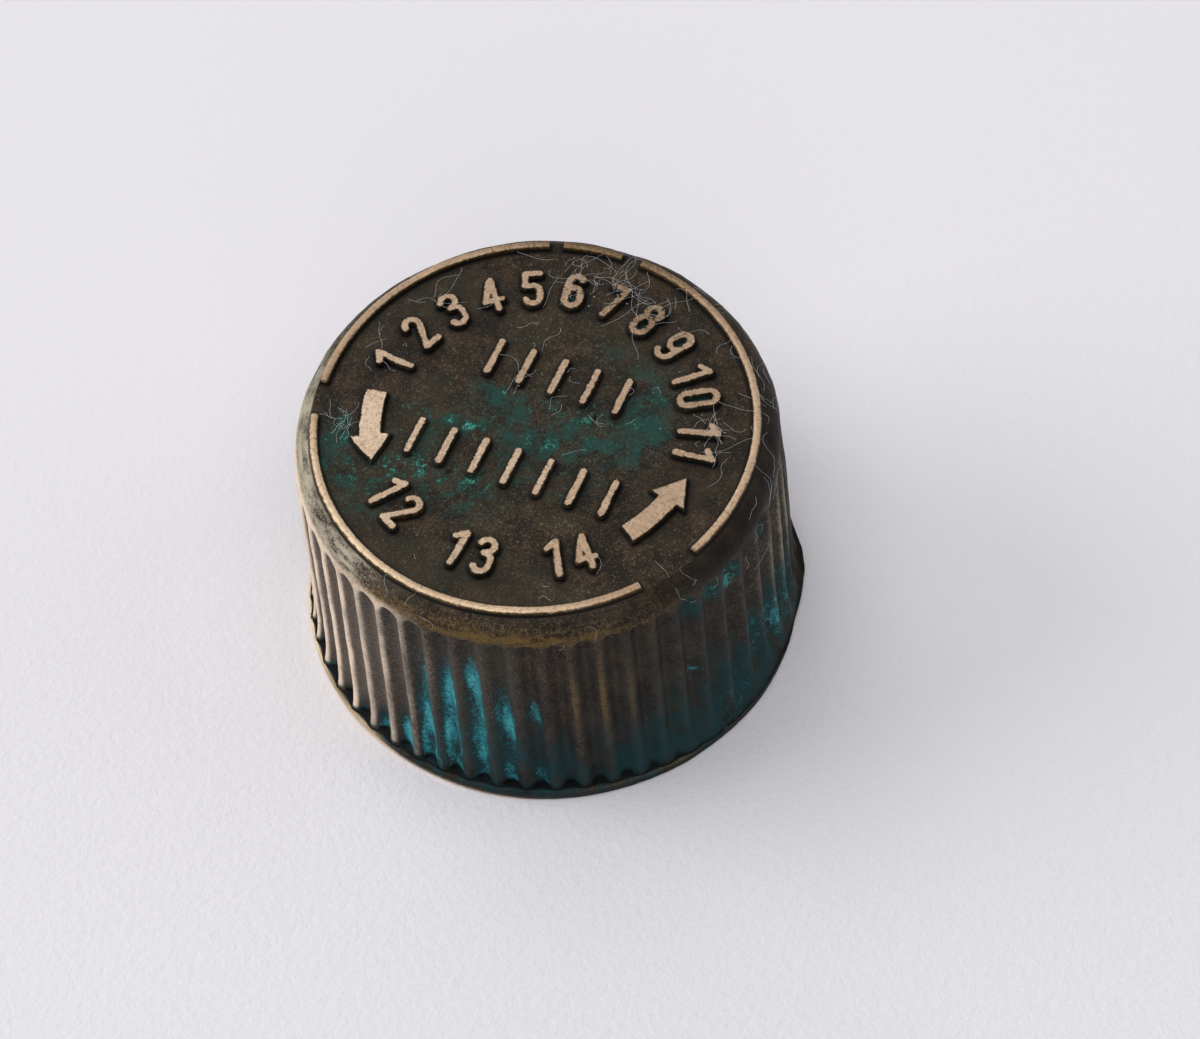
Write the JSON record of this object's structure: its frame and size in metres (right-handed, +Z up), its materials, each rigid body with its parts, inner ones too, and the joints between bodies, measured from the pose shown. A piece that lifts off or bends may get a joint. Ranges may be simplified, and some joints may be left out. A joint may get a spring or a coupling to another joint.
{
  "type": "pill bottle cap",
  "caption": "Cast bronze screw cap for a medicine bottle: fluted leaning skirt, thin flange, round shoulder, and a flat top with a broken raised ring, arrows and plain bars.",
  "frame": {"origin": "centre of the mouth, on the face that the cap stands on", "axes": "+Z up the cap's axis through the top, +Y towards the top of the markings on the top plate"},
  "size_m": [0.035, 0.035, 0.0204],
  "materials": {
    "patinated_bronze": "dark brown patina with green verdigris, worn to pale bronze on the ridges and raised markings"
  },
  "bodies": {
    "root": {"cap": "patinated_bronze"}
  },
  "joints": []
}
